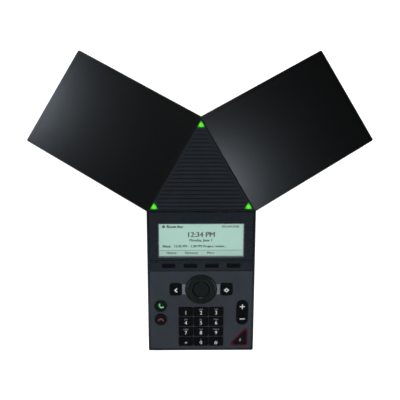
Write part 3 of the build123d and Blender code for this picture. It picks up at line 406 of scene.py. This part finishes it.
def arc(cx, cy, radius, start, end, steps=12):
    """Points on an arc, angles in degrees."""
    angles = [radians(start + (end - start) * i / steps) for i in range(steps + 1)]
    return [(cx + radius * cos(a), cy + radius * sin(a)) for a in angles]


def bar(cx, cy, width, height, turn=0.0):
    """Corners of a turned rectangle."""
    c, s = cos(radians(turn)), sin(radians(turn))
    x, y = width / 2, height / 2
    corners = [(-x, -y), (x, -y), (x, y), (-x, y)]
    return [(cx + x * c - y * s, cy + x * s + y * c) for x, y in corners]


def handset(size, turn):
    """Outline of a telephone handset: a thick arc with two rounded ends."""
    outer = arc(0, 0, size, 20, 160, 16)
    left = arc(-size * 0.80, size * 0.18, size * 0.30, 160, 340, 8)
    inner = list(reversed(arc(0, -size * 0.12, size * 0.62, 35, 145, 12)))
    right = arc(size * 0.80, size * 0.18, size * 0.30, 200, 380, 8)
    points = outer + left + inner + right
    c, s = cos(radians(turn)), sin(radians(turn))
    return [((x * c - (y - size * 0.45) * s), (x * s + (y - size * 0.45) * c)) for x, y in points]


def mark(name, node, loops, material, dx=0.0, dy=0.0, body=None):
    """A printed sign on top of a key."""
    x, y, z = top_of(node)
    mesh = outline_mesh(name, loops)
    point = panel_point(x + dx, y + dy, z + 0.01 * MM)
    return place(mesh, name, point, material, body or node + "_body")


DIAL = {"key_1": ("1", ""), "key_2": ("2", "ABC"), "key_3": ("3", "DEF"), "key_4": ("4", "GHI"),
        "key_5": ("5", "JKL"), "key_6": ("6", "MNO"), "key_7": ("7", "PQRS"), "key_8": ("8", "TUV"),
        "key_9": ("9", "WXYZ"), "key_star": ("*", ""), "key_0": ("0", "+"), "key_hash": ("#", "")}
for node, (digit, small) in DIAL.items():
    x, y, z = top_of(node)
    drop = -2.1 * MM if digit == "*" else -1.0 * MM
    letters(node + "_digit", digit, 3.5 * MM, panel_point(x, y + drop, z), INK, node + "_body")
    if small:
        letters(node + "_letters", small, 1.35 * MM, panel_point(x, y + 2.5 * MM, z), DIM_INK, node + "_body")

CHEVRON = [(1.0 * MM, 2.2 * MM), (-1.3 * MM, 0), (1.0 * MM, -2.2 * MM), (1.7 * MM, -1.6 * MM),
           (0.1 * MM, 0), (1.7 * MM, 1.6 * MM)]
mark("back_sign", "back_key", [CHEVRON], INK, dy=-0.6 * MM)
DIAMOND = [(0, 2.3 * MM), (-2.6 * MM, 0), (0, -2.3 * MM), (2.6 * MM, 0)]
mark("home_sign", "home_key", [DIAMOND, arc(0, 0, 0.8 * MM, 0, 337.5, 15)], INK, dy=-0.6 * MM)
mark("call_sign", "call_key", [handset(2.7 * MM, 135)], GREEN_INK)
mark("hangup_sign", "hangup_key", [handset(2.7 * MM, 0)], RED_INK)
ARM, HALF = 2.3 * MM, 0.42 * MM
PLUS = [(-HALF, ARM), (-HALF, HALF), (-ARM, HALF), (-ARM, -HALF), (-HALF, -HALF), (-HALF, -ARM),
        (HALF, -ARM), (HALF, -HALF), (ARM, -HALF), (ARM, HALF), (HALF, HALF), (HALF, ARM)]
mark("plus_sign", "volume_rocker", [PLUS], INK, dy=6.2 * MM, body="volume")
mark("minus_sign", "volume_rocker", [bar(0, 0, 2 * ARM, 2 * HALF)], INK, dy=-6.2 * MM, body="volume")


def microphone_sign():
    """Microphone: capsule, cradle and stem."""
    capsule = arc(0, 0.7 * MM, 0.62 * MM, 0, 180, 8) + arc(0, -0.3 * MM, 0.62 * MM, 180, 360, 8)
    outer = arc(0, -0.2 * MM, 1.15 * MM, 180, 360, 12)
    inner = arc(0, -0.2 * MM, 0.92 * MM, 180, 360, 12)
    cradle = outer + list(reversed(inner))
    return [capsule, cradle, bar(0, -1.7 * MM, 0.24 * MM, 0.7 * MM)]


mark("mute_sign", "mute_key", microphone_sign(), DIM_INK, dx=0.8 * MM, dy=-1.8 * MM)

# ------------------------------------------------------------------ what the display shows
LENS_RIM = 0.75 * MM       # hidden edge of the lens under its surround
LCD_LOW, LCD_HIGH = panel_extent("display_lens")
LCD_LEFT, LCD_RIGHT = LCD_LOW[0] + LENS_RIM, LCD_HIGH[0] - LENS_RIM
LCD_BOTTOM, LCD_TOP = LCD_LOW[1] + LENS_RIM, LCD_HIGH[1] - LENS_RIM
LCD_FACE = panel_extent("lcd_panel")[1][2] + 0.02 * MM
LCD_MIDDLE = (LCD_LEFT + LCD_RIGHT) / 2


def display_line(name, text, size, x, y, align="LEFT", weight=0.0):
    """A line of dark segments on the display, x from its left edge and y from its top edge, in mm."""
    point = panel_point(LCD_LEFT + x * MM, LCD_TOP - y * MM, LCD_FACE)
    letters(name, text, size * MM, point, LCD_INK, "base", align, weight * MM)


display_line("lcd_time", "12:34 PM", 4.8, 38.4, 10.65, "CENTER", 0.34)
display_line("lcd_date", "Monday, June 1", 2.4, 38.4, 16.0, "CENTER", 0.22)
display_line("lcd_status", "Room line", 2.5, 7.0, 2.9, weight=0.32)
display_line("lcd_number", "555-010-0100", 2.0, 73.4, 2.85, "RIGHT", 0.13)
display_line("lcd_next", "Next:", 2.4, 3.2, 21.8, weight=0.34)
display_line("lcd_meeting", "12:45 PM - 1:30 PM Project review...", 2.3, 13.4, 21.8, weight=0.22)
for i, (word, x) in enumerate((("History", 11.3), ("Directory", 29.6), ("More", 47.3))):
    display_line(f"lcd_soft_{i + 1}", word, 2.1, x, 28.2, "CENTER", 0.16)


def display_mark(name, loops, x, y, material=LCD_INK, thickness=0.04 * MM):
    """A sign on the display."""
    mesh = outline_mesh(name, loops, thickness)
    place(mesh, name, panel_point(x, y, LCD_FACE), material, "base")


LCD_WIDTH = LCD_RIGHT - LCD_LEFT
RULE = LCD_TOP - 25.6 * MM
display_mark("lcd_dot", [arc(0, 0, 1.5 * MM, 0, 345, 23)], LCD_LEFT + 4.2 * MM, LCD_TOP - 2.9 * MM)
display_mark("lcd_rule", [bar(0, 0, LCD_WIDTH - 1.2 * MM, 0.4 * MM)], LCD_MIDDLE, RULE)
BAND = bar(0, 0, LCD_WIDTH, RULE - LCD_BOTTOM)
display_mark("lcd_band", [BAND], LCD_MIDDLE, (RULE + LCD_BOTTOM) / 2, LCD_BAND, 0.02 * MM)

# ------------------------------------------------------------------ floor, light and camera
FLOOR_HALF = 4.0


def grey_ramp(tree, source, low, high):
    """A ramp between two greys."""
    return ramp(tree, source, [(0.3, (low, low, low)), (0.7, (high, high, high))])


def paper_floor():
    """A wide white floor that glows a little, so that it stays white under soft light."""
    mesh = bpy.data.meshes.new("floor")
    plan = bmesh.new()
    bmesh.ops.create_grid(plan, x_segments=1, y_segments=1, size=FLOOR_HALF)
    plan.to_mesh(mesh)
    plan.free()
    floor = bpy.data.objects.new("floor", mesh)
    bpy.context.scene.collection.objects.link(floor)
    material, tree, shader = new_material("floor_paper")
    noise = texture(tree, "ShaderNodeTexNoise", 3.0, Detail=3.0).outputs["Fac"]
    tree.links.new(grey_ramp(tree, noise, 0.40, 0.42), shader.inputs["Base Color"])
    tree.links.new(grey_ramp(tree, noise, 0.81, 0.83), shader.inputs["Emission Color"])
    shader.inputs["Emission Strength"].default_value = 1.0
    shader.inputs["Roughness"].default_value = 0.9
    shader.inputs["Specular IOR Level"].default_value = 0.1
    mesh.materials.append(material)
    floor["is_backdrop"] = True


paper_floor()

HUB_LOW, HUB_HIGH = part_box("speaker_grille")
HUB = Vector(((HUB_LOW.x + HUB_HIGH.x) / 2, HUB_LOW.y + (HUB_HIGH.y - HUB_LOW.y) / 3, HUB_HIGH.z))


def softbox(name, azimuth, elevation, distance, size, power, colour=(1.0, 1.0, 1.0)):
    """A square area light aimed at the hub. Azimuth 0 is +X, 90 is +Y."""
    light = bpy.data.lights.new(name, "AREA")
    light.shape = "SQUARE"
    light.size = size
    light.energy = power
    light.color = colour
    obj = bpy.data.objects.new(name, light)
    a, e = radians(azimuth), radians(elevation)
    direction = Vector((cos(e) * cos(a), cos(e) * sin(a), sin(e)))
    obj.location = HUB + direction * distance
    obj.rotation_euler = direction.to_track_quat("Z", "Y").to_euler()
    bpy.context.scene.collection.objects.link(obj)


COOL = (0.87, 1.0, 1.14)
SPOT_DISTANCE, SPOT_SIZE = 1.5, 0.16
for side, azimuth, elevation, power in (("left_rear", 150.3, 35.5, 2.4), ("right_high", 28.2, 57.0, 0.9),
                                        ("front", 271.0, 46.0, 0.5)):
    softbox("softbox_" + side, azimuth, elevation, SPOT_DISTANCE, SPOT_SIZE, power, COOL)
FILL_ELEVATION, FILL_DISTANCE, FILL_SIZE, FILL_POWER = 45, 2.0, 1.2, 36.0
for i, azimuth in enumerate((90, 210, 330)):
    softbox(f"softbox_fill_{i + 1}", azimuth, FILL_ELEVATION, FILL_DISTANCE, FILL_SIZE, FILL_POWER)


def studio_world():
    """White walls near the horizon under a dark ceiling."""
    world = bpy.data.worlds.new("studio")
    bpy.context.scene.world = world
    world.use_nodes = True
    sky = world.node_tree
    coords = sky.nodes.new("ShaderNodeTexCoord")
    split = sky.nodes.new("ShaderNodeSeparateXYZ")
    sky.links.new(coords.outputs["Generated"], split.inputs["Vector"])
    white, dark, darkest = (1.0, 1.0, 1.0), (0.02, 0.02, 0.02), (0.01, 0.01, 0.01)
    walls = ramp(sky, split.outputs["Z"], [(0.0, white), (0.28, white), (0.45, dark), (1.0, darkest)])
    sky.links.new(walls, sky.nodes["Background"].inputs["Color"])
    sky.nodes["Background"].inputs["Strength"].default_value = 0.5


def overhead_camera():
    """The camera, almost straight above the hub."""
    data = bpy.data.cameras.new("camera")
    data.sensor_width = 36.0
    data.lens = 73.96
    data.clip_end = 20.0
    camera = bpy.data.objects.new("camera", data)
    camera.location = (-0.0126, 0.00646, 0.80918)
    camera.rotation_euler = (-0.0075, -0.0154, -0.0020)
    bpy.context.scene.collection.objects.link(camera)
    bpy.context.scene.camera = camera


studio_world()
overhead_camera()
bpy.context.scene.view_settings.view_transform = "Standard"

low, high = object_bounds()
